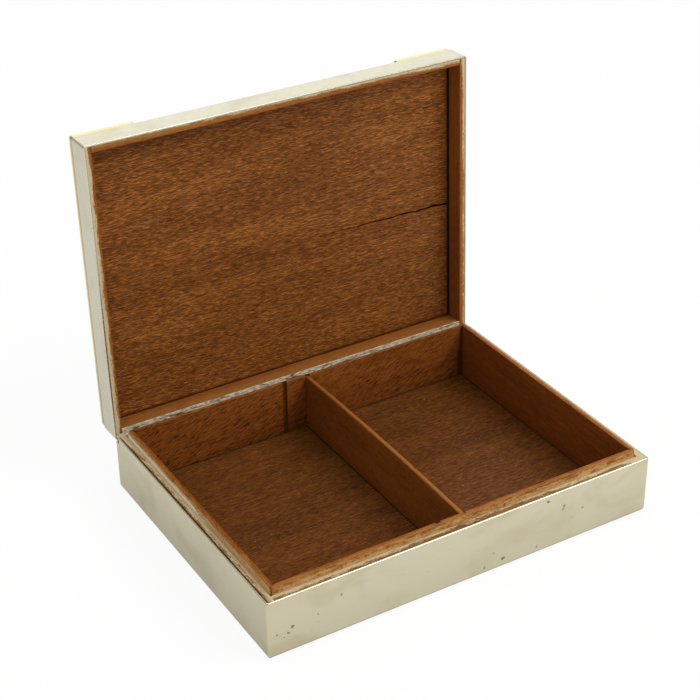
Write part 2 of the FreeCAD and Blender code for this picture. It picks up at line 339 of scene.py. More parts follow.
def ragged_effect():
    """An amount broken up by noise along the grain, as a mask with torn edges."""
    tree, given = effect("ragged", {"Amount": "value", "Grain": "vector", "Tear": "value"}, ("Mask",))
    long = streaks(tree, given["Grain"], along=0.16, across=0.9, detail=3.0)
    short = streaks(tree, given["Grain"], along=0.9, across=1.8, detail=2.0)
    broken = calc(tree, "ADD", times(tree, long, 0.6), times(tree, short, 0.4))
    shift = times(tree, calc(tree, "SUBTRACT", broken, 0.5), given["Tear"])
    return put_out(tree, mask=ease(tree, calc(tree, "ADD", given["Amount"], shift), 0.35, 0.65))


def tarnish_effect():
    """Stains in soft clouds, small pits, and fine rubbing marks on metal."""
    tree, given = effect("tarnish", {"Place": "vector"}, ("Stain", "Pits", "Rub"))
    cloud = noise(tree, stretch(tree, given["Place"], (0.035, 0.035, 0.05)), 4.0, 0.8)
    speck = noise(tree, stretch(tree, given["Place"], (0.55, 0.55, 0.55)), 2.0)
    rub = noise(tree, stretch(tree, given["Place"], (0.4, 0.4, 3.0)), 3.0)
    return put_out(tree, stain=ease(tree, cloud, 0.45, 0.75), pits=ease(tree, speck, 0.73, 0.78), rub=rub)


timber, ragged, tarnish = timber_effect(), ragged_effect(), tarnish_effect()

GOLD = tint(166, 109, 47)
CHALK = tint(208, 190, 150)
# painted shade for grooves, gaps, corners and the feet of boards
SHADOW = tint(36, 19, 7)
DUST = tint(176, 158, 130)
FOOT_STAIN_AND_REFLECTION = tint(122, 108, 78)
PIT_BROWN = tint(86, 76, 54)
INSIDE_SHADE = tint(40, 32, 22)


def new_material(name):
    """An empty material with its main shader and output."""
    material = bpy.data.materials.new(name)
    material.use_nodes = True
    tree = material.node_tree
    return material, tree, tree.nodes["Principled BSDF"]


def bump(tree, shader, height, strength, distance):
    """Fine relief from a height."""
    values = {"Height": height, "Strength": strength, "Distance": distance * MM}
    tree.links.new(node(tree, "ShaderNodeBump", values).outputs[0], shader.inputs["Normal"])


def wood(
    name, tones, dashes=0.8, slant=0.0, wave=0.3, pores=0.5, dust=0.0, gloss=0.5, relief=0.25, overlays=()
):
    """Wood in three tones along its grain, with waved dashes, pores, dust and torn overlays."""
    material, tree, shader = new_material(name)
    dark, middle, light = (tint(*tone) for tone in tones)
    deep = tuple(level * 0.3 for level in dark[:3]) + (1.0,)
    fibre = field(tree, "grain", "Vector")
    figure = place(tree, timber, grain=fibre, dashes=dashes, slant=slant, wave=wave)
    colour = mix(tree, ease(tree, figure["Tone"], 0.28, 0.52), dark, middle)
    colour = mix(tree, ease(tree, figure["Tone"], 0.5, 0.78), colour, light)
    colour = mix(tree, times(tree, figure["Pores"], pores), colour, deep)
    rough = ease(tree, figure["Tone"], 0.2, 0.8, gloss + 0.12, gloss - 0.05)
    # An overlay is a field's name, its colour, how far its edge is torn and its strength.
    for word, shade, tear, strength in overlays:
        mask = place(tree, ragged, amount=field(tree, word), grain=fibre, tear=tear)["Mask"]
        colour = mix(tree, times(tree, mask, strength), colour, shade)
    colour = mix(tree, times(tree, figure["Dust"], dust), colour, DUST)
    tree.links.new(colour, shader.inputs["Base Color"])
    tree.links.new(rough, shader.inputs["Roughness"])
    shader.inputs["Specular IOR Level"].default_value = 0.1
    bump(tree, shader, figure["Height"], relief, 0.25)
    return material


def spots(tree, where, centres):
    """A mask of small torn marks at places given in millimetres with their radius."""
    values = {"Vector": where, "Scale": 1.6, "Detail": 2.0}
    torn = node(tree, "ShaderNodeTexNoise", values).outputs["Color"]
    values = {0: torn, 1: (0.5, 0.5, 0.5)}
    torn = node(tree, "ShaderNodeVectorMath", values, operation="SUBTRACT").outputs[0]
    values = {0: where, 1: stretch(tree, torn, (3.0, 3.0, 2.0))}
    where = node(tree, "ShaderNodeVectorMath", values, operation="ADD").outputs[0]
    mask = 0.0
    for *centre, radius in centres:
        values = {0: where, 1: centre}
        away = node(tree, "ShaderNodeVectorMath", values, operation="DISTANCE").outputs["Value"]
        mask = calc(tree, "MAXIMUM", mask, ease(tree, away, radius, radius * 0.3))
    return mask


def plated(name, clean, stained, marks):
    """Silver-coloured plate: soft warm stains, pits, rubbing marks, a polished rim, a darker foot and painted
    shade on the inside.
    """
    material, tree, shader = new_material(name)
    where = stretch(tree, object_place(tree), (1 / MM,) * 3)
    worn = place(tree, tarnish, place=where)
    colour = mix(tree, times(tree, worn["Stain"], 0.6), clean, stained)
    # the foot colour is tarnish on the lid's rim and a painted dark reflection on the base's bottom round
    colour = mix(tree, times(tree, field(tree, "foot"), 0.6), colour, FOOT_STAIN_AND_REFLECTION)
    pitted = calc(tree, "MAXIMUM", times(tree, worn["Pits"], 0.3), spots(tree, where, marks))
    colour = mix(tree, pitted, colour, PIT_BROWN)
    # painted shade on the sheet's inner face
    colour = mix(tree, field(tree, "inside"), colour, INSIDE_SHADE)
    tree.links.new(colour, shader.inputs["Base Color"])
    shader.inputs["Metallic"].default_value = 1.0
    rubbed = ease(tree, worn["Rub"], 0.3, 0.7, 0.32, 0.42)
    rough = calc(tree, "ADD", rubbed, times(tree, pitted, 0.3))
    rough = calc(tree, "SUBTRACT", rough, times(tree, field(tree, "rim"), 0.1))
    tree.links.new(rough, shader.inputs["Roughness"])
    bump(tree, shader, calc(tree, "SUBTRACT", worn["Rub"], pitted), 0.012, 0.1)
    return material


def polished_brass(name):
    """Pale polished brass with thin brown down its sides, partly tarnish and partly painted shade, and fine
    rubbing marks.
    """
    material, tree, shader = new_material(name)
    bright, dull, brown = tint(240, 224, 162), tint(218, 197, 128), tint(150, 122, 66)
    worn = place(tree, tarnish, place=stretch(tree, object_place(tree), (1 / MM,) * 3))
    colour = mix(tree, times(tree, worn["Stain"], 0.4), bright, dull)
    # brown down the sides: partly tarnish, partly painted shade
    colour = mix(tree, field(tree, "foot"), colour, brown)
    tree.links.new(colour, shader.inputs["Base Color"])
    shader.inputs["Metallic"].default_value = 1.0
    tree.links.new(ease(tree, worn["Rub"], 0.3, 0.7, 0.2, 0.3), shader.inputs["Roughness"])
    bump(tree, shader, worn["Rub"], 0.015, 0.1)
    return material


def crusted_brass(name):
    """Old hinge brass under a mottled crust of pale green and white, with dark breaks."""
    material, tree, shader = new_material(name)
    green, white = tint(190, 178, 148), tint(230, 224, 206)
    metal, gap = tint(128, 106, 68), tint(66, 52, 32)
    where = stretch(tree, object_place(tree), (1 / MM,) * 3)
    blotch = streaks(tree, where, along=0.14, across=0.7, detail=4.0, distortion=0.6)
    fleck = streaks(tree, where, along=0.5, across=1.5, detail=3.0)
    covered = ease(tree, blotch, 0.34, 0.5)
    pale = mix(tree, ease(tree, fleck, 0.4, 0.62), green, white)
    breaks = times(tree, ease(tree, fleck, 0.4, 0.33), 0.8)
    colour = mix(tree, breaks, mix(tree, covered, metal, pale), gap)
    tree.links.new(colour, shader.inputs["Base Color"])
    tree.links.new(ease(tree, covered, 0.0, 1.0, 0.6, 0.05), shader.inputs["Metallic"])
    tree.links.new(ease(tree, covered, 0.0, 1.0, 0.4, 0.7), shader.inputs["Roughness"])
    bump(tree, shader, calc(tree, "ADD", blotch, fleck), 0.5, 0.3)
    return material


# Each mark on the front is its place along it, its height and its radius.
FRONT_FACE = -61.25
front_marks = (
    (-72.8, 11.2, 0.9), (-74.5, 9.1, 0.8), (-79.0, 9.9, 0.6), (-76.5, 7.9, 0.5), (-53.2, 16.9, 0.8),
    (-62.8, 12.4, 0.6), (35.3, 22.4, 0.8), (42.8, 17.6, 0.8), (42.5, 16.3, 0.6), (51.7, 13.7, 0.7),
    (30.8, 3.8, 0.6), (15.5, 4.5, 1.0), (7.2, 3.5, 0.8), (10.9, 8.5, 0.6),
)
front_pits = [(x, FRONT_FACE, z, radius) for x, z, radius in front_marks]
lid_pits = [(41.0, 61.4, 144.2, 0.5)]
silver_base = plated("silver_base", tint(212, 205, 178), tint(192, 181, 146), front_pits)
silver_lid = plated("silver_lid", tint(214, 209, 188), tint(196, 188, 160), lid_pits)
brass = polished_brass("band_polish")
crust = crusted_brass("hinge_crust")
panel_wood = wood(
    "panel_ripple", ((90, 50, 17), (125, 71, 26), (176, 112, 50)),
    dashes=1.4, slant=0.02, wave=1.2, pores=0.4, gloss=0.5, relief=0.35,
    overlays=(
        ("scuff", tint(170, 140, 105), 0.9, 0.5),
        ("painted_shade", SHADOW, 0.3, 0.7),
        # the crack's near-black is painted shade inside it
        ("crack", tint(12, 7, 3), 0.1, 0.97),
    ),
)
back_wood = wood(
    "back_streaks", ((90, 45, 14), (142, 79, 30), (172, 104, 44)),
    dashes=0.9, slant=0.4, pores=0.9, gloss=0.42, relief=0.35,
    overlays=(("lip", GOLD, 0.5, 0.45), ("painted_shade", SHADOW, 0.4, 0.6)),
)
lining_wood = wood(
    "lining_lip", ((94, 48, 16), (138, 76, 28), (164, 98, 40)),
    dashes=0.7, slant=0.1, pores=0.3, gloss=0.42, relief=0.15,
    overlays=(
        ("lip", GOLD, 1.2, 0.8),
        ("chalk", tint(216, 182, 124), 0.9, 0.72),
        ("painted_shade", SHADOW, 0.4, 0.55),
        # the near-white residue is partly a painted sheen on the lip's outer face
        ("residue", tint(246, 234, 208), 0.8, 0.92),
    ),
)
divider_wood = wood(
    "divider_satin", ((98, 54, 19), (138, 80, 31), (160, 97, 40)),
    dashes=0.7, slant=0.1, pores=0.35, gloss=0.4, relief=0.12,
    overlays=(("painted_shade", SHADOW, 0.4, 0.35), ("lip", tint(160, 102, 48), 0.6, 0.75)),
)
floor_wood = wood(
    "floor_satin", ((72, 39, 14), (102, 58, 22), (134, 82, 36)),
    dashes=1.2, pores=0.35, dust=0.7, gloss=0.5, relief=0.1,
    overlays=(("painted_shade", SHADOW, 0.35, 0.8),),
)
rail_wood = wood(
    "rail_chalked", ((92, 58, 30), (140, 98, 58), (172, 130, 84)),
    dashes=0.5, pores=0.4, gloss=0.6, relief=0.3,
    overlays=(("chalk", CHALK, 1.5, 0.9),),
)
strip_wood = wood(
    "strip_rim", ((108, 58, 21), (150, 87, 35), (172, 107, 49)),
    dashes=0.6, pores=0.25, gloss=0.45, relief=0.15,
    overlays=(
        ("lip", tint(160, 116, 64), 0.7, 0.8),
        ("chalk", CHALK, 1.1, 0.92),
        ("painted_shade", SHADOW, 0.4, 0.8),
    ),
)
foot_wood = wood(
    "foot_board", ((70, 40, 18), (104, 64, 30), (128, 84, 44)),
    dashes=0.8, pores=0.4, gloss=0.6, relief=0.3,
)


def ramp(values, low, high):
    """A share that goes evenly from 0 to 1 as values go from low to high."""
    return np.clip((values - low) / (high - low), 0, 1)


def level_field(axis, low, high):
    """A field that goes from 0 to 1 as a coordinate goes from low to high."""
    return lambda points: ramp(points[:, axis], low, high)


def grain(along, across, depth, shift):
    """A field with the fibre's direction first, in millimetres, shifted so that no two boards match."""
    order = [along, across, depth]
    return lambda points: points[:, order] + np.array(shift)


def bare(points):
    """A field that is 0 all over."""
    return np.zeros(len(points))


def within(half):
    """A field that is 1 on points inside a rectangle seen from above."""
    return lambda points: (np.abs(points[:, :2]) < half).all(1).astype(float)


def base_shell():
    """Sheet metal of the base: its section carried round, its rim stepped down along the hinge."""
    low, high = span("base_case")
    half = (high[:2] - low[:2]) / 2
    foot, rim, stop = low[2], high[2], span("hinge_base_leaf")[1][2]
    foot_round, rim_round, flange = 1.6, 0.5, 5.2
    relief = span("base_rail_back")[0][1]
    section = closed(rounded_line([
        (flange, foot, 0.1), (0, foot, foot_round), (0, rim, rim_round), (SHEET, rim, 0.12),
        (SHEET, rim - rim_round, 0), (SHEET, foot + SHEET, 0.1), (flange, foot + SHEET, 0.1),
    ]))
    step = relief / (half[1] - SHEET_CORNER)
    sharp = STEP_GAP / (half[1] - SHEET_CORNER)
    side_y = np.unique(np.concatenate([even(26), [step - sharp, step + sharp]]))
    grid = carried_round((0, 0), half, SHEET_CORNER, section, stations(even(34), side_y))
    upper = section[:, 1] > stop - 0.4
    cut = (grid[..., 1] > relief) & upper[:, None]
    grid[..., 2] = np.where(cut, grid[..., 2] - (rim - stop), grid[..., 2])
    gap = within(half - SHEET * 0.8)
    fields = {
        # a painted dark reflection of the floor along the bottom round
        "foot": level_field(2, 2.2, 0.6),
        "rim": level_field(2, rim - 0.5, rim - 0.2),
        # the inside is painted shade in the gap behind the rails
        "inside": lambda points: gap(points) * (points[:, 2] < rim - 0.3) * (points[:, 2] > rim / 2),
    }
    make_piece("base_case", [grid], silver_base, fields)


def lid_shell():
    """Sheet metal of the lid: its section carried round, closed over the top and under it."""
    low, high = span("lid_case")
    half = (high[:2] - low[:2]) / 2
    middle, rim, top = half[1], low[2], high[2]
    edge_end = rim + 0.6
    section = rounded_line([
        (middle, top - SHEET, 0), (SHEET, top - SHEET, 0.1), (SHEET, edge_end, 0), (SHEET, rim, 0.12),
        (0, rim, 0.25), (0, edge_end, 0), (0, top, 0.8), (middle, top, 0),
    ])
    grid = carried_round((0, 0), half, SHEET_CORNER, section, stations(even(34), even(26)))

    def tarnished(points):
        """Tarnish on the rim's edge, growing from the left to the right."""
        return ramp(points[:, 0], -40, 30) * (points[:, 2] < rim + 0.3)

    fields = {"foot": tarnished, "inside": bare, "rim": level_field(2, rim + 0.5, rim + 0.2)}
    make_piece("lid_case", [grid], silver_lid, fields)


def band_tarnish_and_shade(low, high):
    """Tarnish and painted shade that deepen down a band's long sides, and less down its ends."""
    def amount(points):
        """The depth below the top edge as a share, cut to a quarter on the ends."""
        down = np.clip((high[2] - 0.6 - points[:, 2]) / (high[2] - 0.65 - low[2]), 0, 1)
        return down * np.where(np.abs(points[:, 1]) > high[1] - 0.3, 0.25, 1.0)
    return amount


def brass_bands():
    """Two flat bands on the lid: an outline from the middle below to the middle on top, carried round."""
    corner, foot_round, top_round = 1.1, 0.05, 0.5
    for side in ("left", "right"):
        low, high = span(f"brass_band_{side}")
        half, middle = (high[:2] - low[:2]) / 2, (high[:2] + low[:2]) / 2
        inset = min(half)
        profile = rounded_line([
            (inset, low[2], 0), (0, low[2], foot_round), (0, high[2], top_round), (inset, high[2], 0),
        ])
        grid = carried_round(middle, half, corner, profile, stations(even(9), even(26)))
        make_piece(f"brass_band_{side}", [grid], brass, {"foot": band_tarnish_and_shade(low, high)})


def rail_chalk(axis, lining, edge, near, far):
    """Residue on a ledge: from near at the lip's foot to far at the metal, and more at some corners."""
    def amount(points):
        """The share across the ledge, and shares towards the ends and corners, weighted and added."""
        x, y = points[:, 0], points[:, 1]
        share = ramp(np.abs(points[:, axis]), lining, edge)
        corner = ramp(x, 70, 78) + ramp(y, 46, 56)
        ends = (0.25 * ramp(-x, 10, 50) + 0.14 * ramp(x, 20, 50)) * (axis == 1)
        return near + ends + (far - near) * share + 0.5 * np.minimum(corner, 1)
    return amount


def base_ledges():
    """The rails of the base: boards with worn uneven tops that carry a pale residue."""
    amounts = {"front": (0.66, 0.05), "back": (0.5, 0.5), "left": (0.8, 0.36), "right": (0.7, 0.75)}
    for count, (side, (near, far)) in enumerate(amounts.items()):
        low, high = span(f"base_rail_{side}")
        along = 0 if side in ("front", "back") else 1
        across = 1 - along
        steps = [0.45, 0.45, 4.0]
        steps[along] = 2.0
        inner, outer = sorted((abs(low[across]), abs(high[across])))

        def uneven(points, top=high[2], seed=count + 1):
            """The top lowered by a small loss that varies in waves."""
            worn = points.copy()
            loss = np.where(points[:, 2] > top - 0.05, 0.07, 0)
            worn[:, 2] -= loss * (1 + waves(points[:, 0], points[:, 1], seed))
            return worn

        grids = rounded_board(low, high, 0.14, steps)
        fields = {
            "grain": grain(along, across, 2, (40 * count, 7 * count, 3)),
            "chalk": rail_chalk(across, inner, outer, near, far),
        }
        make_piece(f"base_rail_{side}", grids, rail_wood, fields, uneven)


def lining_board(side, turn, material, grooves, shift):
    """A lining board: its section carried along the side between mitres, set back where a groove is cut."""
    low, high = span("lining_front")
    outer_x = span("lining_right")[1][0]
    outer_y, inner_y = -low[1], -high[1]
    floor, top, thick = low[2], high[2], outer_y - inner_y
    ledge = span("base_rail_front")[1][2]
    long_side = side in ("front", "back")
    along, across = (0, 1) if long_side else (1, 0)
    half = np.array([outer_x, outer_y] if long_side else [outer_y, outer_x])
    inner = half[1] - thick
    corner, lean, depth, room, far_off = 2.0, 0.4, 0.9, 1.05, 999.0
    relief = outer_y - span("lid_rail_back")[0][1] + 0.25
    if side == "back":
        outline = [(0, floor, 0.05), (0, ledge, 0.05), (relief, ledge, 0.05), (relief, top, 0.3)]
    else:
        outline = [(0, floor, 0.05), (0, ledge, 0), (0, ledge + 0.03, 0), (lean, top, 0.38)]
    section = closed(rounded_line([*outline, (thick, top, 0.32), (thick, floor, 0.05)]))
    straight = half[0] - corner
    walls = [middle + wall for middle in grooves for wall in (-room, room)]
    edges = [wall + nudge for wall in walls for nudge in (-STEP_GAP / 2, STEP_GAP / 2)]
    share = np.unique(np.concatenate([even(60), np.array(edges) / straight]))
    eighth = np.linspace(0, math.pi / 4, ARC + 1)
    front = -math.pi / 2
    share, facing = joined([(-1, front - eighth[::-1]), (share, front), (1, front + eighth)])
    grid = carried_round((0, 0), half, corner, section, (share, -np.ones(len(share)), facing))
    if grooves:
        beside = np.abs(share[:, None] * straight - np.array(grooves)).min(1)
        cut = (beside < room) & (section[:, :1] > thick - depth)
        grid[..., 1] = np.where(cut, np.minimum(grid[..., 1], -(inner + depth)), grid[..., 1])
    middle = grid[:-1].mean(0)
    grid = grid.transpose(1, 0, 2)
    caps = [np.broadcast_to(middle[end], grid[end].shape)[None] for end in (0, -1)]
    grid = np.concatenate([caps[0], grid, caps[1]])
    cosine, sine = round(math.cos(math.radians(turn))), round(math.sin(math.radians(turn)))
    x, y = grid[..., 0].copy(), grid[..., 1].copy()
    grid[..., 0], grid[..., 1] = x * cosine - y * sine, x * sine + y * cosine
    if not long_side:
        cut = (grid[..., 2] > ledge + 0.015) & (grid[..., 1] > outer_y - relief)
        grid[..., 1] = np.where(cut, outer_y - relief, grid[..., 1])
    chalk_level, lip_level = (0.72, 0.52) if side == "left" else (0.56, 0.58)
    cut_at = np.array([*grooves, far_off]) * (1 if side == "front" else -1)

    def outside(points):
        """How near a point is to the outer face."""
        return ramp(np.abs(points[:, across]), half[1] - lean - 0.3, half[1] - lean)

    def chalk(points):
        """Pale wear on the outer face, up to just below the top edge."""
        return chalk_level * outside(points) * ramp(points[:, 2], top - 0.1, top - 0.4)

    def residue(points):
        """Pale residue and a painted sheen on the outer face, most at its foot and towards the hinge."""
        down = np.clip(1.15 * (top - points[:, 2]) / (top - ledge), 0, 1)
        return outside(points) * ramp(points[:, 1], -26, 4) * down

    def painted_shade(points):
        """Painted shade inside the grooves and low down by the floor, and a dark line along the mitres."""
        into = np.abs(points[:, across]) - inner
        mitre = np.abs((half[0] - np.abs(points[:, along])) - (half[1] - np.abs(points[:, across])))
        beside = np.abs(points[:, along, None] - cut_at).min(1)
        groove = (into > 0.3) * (into < depth + 0.1) * (beside < room + 0.005)
        low_down = ramp(points[:, 2], floor + 3, floor - 3)
        return np.maximum(np.maximum(groove, low_down), 0.8 * np.exp(-mitre / 0.25))

    fields = {
        "grain": grain(along, 2, across, shift),
        "lip": lambda points: lip_level * ramp(np.abs(points[:, across]), inner + 0.12, inner + 0.42),
        "chalk": chalk,
        "painted_shade": painted_shade,
    }
    if side == "left":
        fields["residue"] = residue
    make_piece(f"lining_{side}", [grid], material, fields)


def divider_board():
    """The loose divider: its outline carried round, bowed between its grooves and chipped on top."""
    low, high = span("divider")
    half, middle = (high[:2] - low[:2]) / 2, (high[:2] + low[:2]) / 2
    foot, top = low[2], high[2]
    chip_at, chip_long, chip_deep, bow, in_groove = -22.0, 0.9, 0.35, 0.8, 1.5
    rub_ends = [(0, top - 2.7, 0), (0, top - 1.9, 0)]
    profile = rounded_line(
        [(half[0], foot, 0), (0, foot, 0.1), *rub_ends, (0, top, 0.7), (half[0], top, 0)]
    )
    chip_stations = (chip_at + chip_long * np.linspace(-2, 2, 13)) / half[1]
    along = np.unique(np.concatenate([even(60), chip_stations]))
    grid = carried_round(middle, half, 0.35, profile, stations(even(3), along))
    chip = np.exp(-(((grid[..., 1] - chip_at) / chip_long) ** 2))
    chip *= np.clip(grid[..., 0] - middle[0] + 0.6, 0, 1)
    grid[..., 2] -= chip_deep * chip * (grid[..., 2] > top - 1)
    warp = bow * np.clip(1 - (grid[..., 1] / (half[1] - in_groove)) ** 2, 0, 1)
    grid[..., 0] += warp * (grid[..., 2] - foot) / (top - foot)

    def rubbed(points):
        """Wear on the top edge, and less of it a little way down the faces."""
        down = top - points[:, 2]
        edge = ramp(down, 0.5, 0.1) * (0.8 - 0.25 * ramp(points[:, 1], -20, 30))
        return np.maximum(edge, 0.36 * ramp(down, 2.6, 2.0))

    fields = {
        "grain": grain(1, 2, 0, (11, 5, 60)),
        "lip": rubbed,
        # painted shade low on the faces, where the divider meets the floor
        "painted_shade": level_field(2, foot + 3, foot - 3),
    }
    make_piece("divider", [grid], divider_wood, fields)


def floor_of_box():
    """The floor of the compartments: a thin board, with painted shade where it meets the walls and the divider."""
    low, high = span("floor_board")
    wall_x, wall_y = span("lining_right")[0][0], -span("lining_front")[1][1]
    left_face, right_face = span("divider")[0][0], span("divider")[1][0]
    near = np.array([0, 0.6, 1.5, 3.0, 5.0])
    extra_x = np.concatenate([near - wall_x, left_face - near, right_face + near, wall_x - near])
    extra_y = np.concatenate([sign * (wall_y - near) for sign in (-1, 1)])

    def painted_wall_shade(points):
        """Painted shade that falls off with the distance from the nearest wall."""
        x, y = np.abs(points[:, 0]), np.abs(points[:, 1])
        beside = np.maximum(left_face - points[:, 0], points[:, 0] - right_face)
        away = np.minimum(np.minimum(wall_x - x, wall_y - y), beside)
        return 0.75 * np.exp(-np.maximum(away, 0) / 1.3)

    grids = rounded_board(low, high, 0.1, (3.0, 3.0, 0.6), (extra_x, extra_y, ()))
    make_piece("floor_board", grids, floor_wood, {"grain": grain(0, 1, 2, (15, 90, 0)), "painted_shade": painted_wall_shade})


def foot_of_box():
    """The board that the box stands on: its stepped outline carried round."""
    low, high = span("baseboard")
    half = (high[:2] - low[:2]) / 2
    middle, narrow, shelf = half[1], 4.7, span("base_case")[0][2] + SHEET
    profile = rounded_line([
        (middle, low[2], 0), (narrow, low[2], 0.3), (narrow, shelf, 0.05), (0, shelf, 0.05),
        (0, high[2], 0.1), (middle, high[2], 0),
    ])
    grid = carried_round((0, 0), half, 0.3, profile, stations(even(30), even(24)))
    make_piece("baseboard", [grid], foot_wood, {"grain": grain(0, 1, 2, (60, 20, 9))})


def strip_share(points, across, ends):
    """How far across the rim a point lies: none at the inner edge, all at the metal."""
    return ramp(np.abs(points[:, across]), *sorted(ends))


def strip_chalk(across, ends, rim, more):
    """Residue on the lid's rim: most beside the metal and far from the hinge, none up the inner face."""
    def amount(points):
        """Shares across the rim, towards the front and to the right, added and kept to the rim."""
        x, y = points[:, 0], points[:, 1]
        front = 0.3 * ramp(-y, 10, 60) * (across == 0) * (x > 0)
        spread = 0.15 + 0.75 * strip_share(points, across, ends) + more + front
        spread += 0.2 * np.clip(x / 80, -1, 1)
        return spread * ramp(points[:, 2], rim + 0.6, rim + 0.1)
    return amount


def strip_edge(across, ends, rim, wide):
    """Worn light wood on the rim, less at its inner edge; on the wide strip it fades far up the face."""
    def amount(points):
        """A share of the height above the rim, weighted across the rim on the narrow strips."""
        up = points[:, 2] - rim
        if wide:
            return 0.5 * ramp(up, 13, 3)
        return (0.25 + 0.45 * strip_share(points, across, ends)) * ramp(up, 1.5, 0.5)
    return amount


def lid_strips():
    """The strips inside the lid's rim: boards, pale and worn on the rim and golden on its inner edge."""
    residue = {"front": -0.3, "back": -0.2, "left": 0.2, "right": -0.45}
    rim = span("lid_case")[0][2]
    for count, (side, more) in enumerate(residue.items()):
        low, high = span(f"lid_rail_{side}")
        along = 0 if side in ("front", "back") else 1
        across = 1 - along
        ends = abs(low[across]), abs(high[across])
        steps = [0.5, 0.5, 0.6]
        steps[along] = 2.5
        fields = {
            "grain": grain(along, 2, across, (30 * count + 7, 50, 4 * count)),
            "chalk": strip_chalk(across, ends, rim, more),
            "lip": strip_edge(across, ends, rim, side == "back"),
            # painted shade on the strip's inner face next to the panel
            "painted_shade": level_field(2, high[2] - 3.0, high[2] - 2.3),
        }
        make_piece(f"lid_rail_{side}", rounded_board(low, high, 0.3, steps), strip_wood, fields)


def lid_board():
    """The lid's panel: a sheet of heights with rounded edges and a crack that narrows from the right."""
    low, high = span("lid_panel")
    rounding = 0.2
    crack_y, crack_end, gape, deepest, reach = 4.3, 8.0, 0.66, 1.9, 8.0
    core = np.array([0, 0.3, 0.62, 0.9, 1.0, 1.25]) * gape
    beside = np.array([0.9, 1.6, 3, 5, reach])
    around = np.concatenate([-beside[::-1], -core[:0:-1], core, beside])
    far = lines(low[1], high[1], rounding, 2.5)
    clear = reach + 1
    v = np.concatenate([far[far < crack_y - clear], crack_y + around, far[far > crack_y + clear]])
    x = lines(low[0], high[0], rounding, 1.6)[:, None]
    along = ramp(x, crack_end, high[0])
    drift = -1.3 * (1 - along) + 0.22 * np.sin(x * 0.42) + 0.12 * np.sin(x * 1.1 + 2)
    width = 0.04 + 0.96 * along ** 0.8 * (0.82 + 0.18 * np.sin(x * 0.9))
    offset = v - crack_y
    inside = np.abs(offset) <= core[-1] + 1e-6
    pull = np.clip(1 - (np.abs(offset) - core[-1]) / reach, 0, 1)
    y = v + pull * drift + np.where(inside, offset * (width - 1), 0)
    open_depth = np.clip(1 - np.abs(offset) / gape, 0, 1) * 2.2
    depth = np.minimum(open_depth * np.clip(along * 6, 0, 1), deepest)

    def rounded_off(edge):
        """How far a quarter circle lies back at a distance from the edge."""
        return rounding - np.sqrt(rounding**2 - np.clip(rounding - edge, 0, rounding) ** 2)

    edge_v = np.minimum(v - low[1], high[1] - v)
    edge_x = np.minimum(x - low[0], high[0] - x)
    drop = rounded_off(edge_v) + rounded_off(edge_x)
    grid = np.stack(np.broadcast_arrays(x, y, low[2] + drop + depth), -1)
    rear = grid[:, ::-1].copy()
    rear[..., 2] = high[2]
    grid = np.concatenate([grid, rear, grid[:, :1]], 1)
    ends = grid[[0, -1]].copy()
    ends[..., 2] = high[2]
    grid = np.concatenate([ends[:1], grid, ends[1:]])

    def crack(points):
        """Painted shade by the depth inside the crack."""
        return ramp(points[:, 2], low[2] + 0.1, low[2] + 0.45) * (np.abs(points[:, 1] - crack_y) < 3)

    def scuff(points):
        """Three soft oval marks, each a bell curve over its place."""
        middles = np.array([(-57, -22), (64, 8.5), (-70, 30)])
        sizes = np.array([(10, 3.0), (2.2, 3.0), (1.2, 1.2)])
        away = (points[:, None, :2] - middles) / sizes
        return 0.52 * np.exp(-(away**2).sum(-1)).sum(-1)

    def painted_edge_shade(points):
        """Painted shade that falls off with the distance from the panel's edges, in the gap beside the strips."""
        away = np.minimum((points[:, :2] - low[:2]).min(1), (high[:2] - points[:, :2]).min(1))
        return np.exp(-np.maximum(away, 0) / 0.5)

    fields = {"grain": grain(0, 1, 2, (120, 33, 0)), "crack": crack, "scuff": scuff, "painted_shade": painted_edge_shade}
    make_piece("lid_panel", [grid], panel_wood, fields)


def turned(section):
    """A section of (along, radius) points carried round the hinge axis."""
    around = np.linspace(0, 2 * math.pi, 33)
    x = np.broadcast_to(section[:, :1], (len(section), len(around)))
    y = hinge_axis[1] + section[:, 1:] * np.cos(around)
    z = hinge_axis[2] + section[:, 1:] * np.sin(around)
    return np.stack([x, y, z], -1)


def tube(start, end, bore, radius, rounding):
    """A tube on the hinge axis: its wall's section carried round the axis."""
    bore_round = 0.04
    section = rounded_line([
        (start, bore, bore_round), (start, radius, rounding),
        (end, radius, rounding), (end, bore, bore_round),
    ])
    return turned(closed(section))


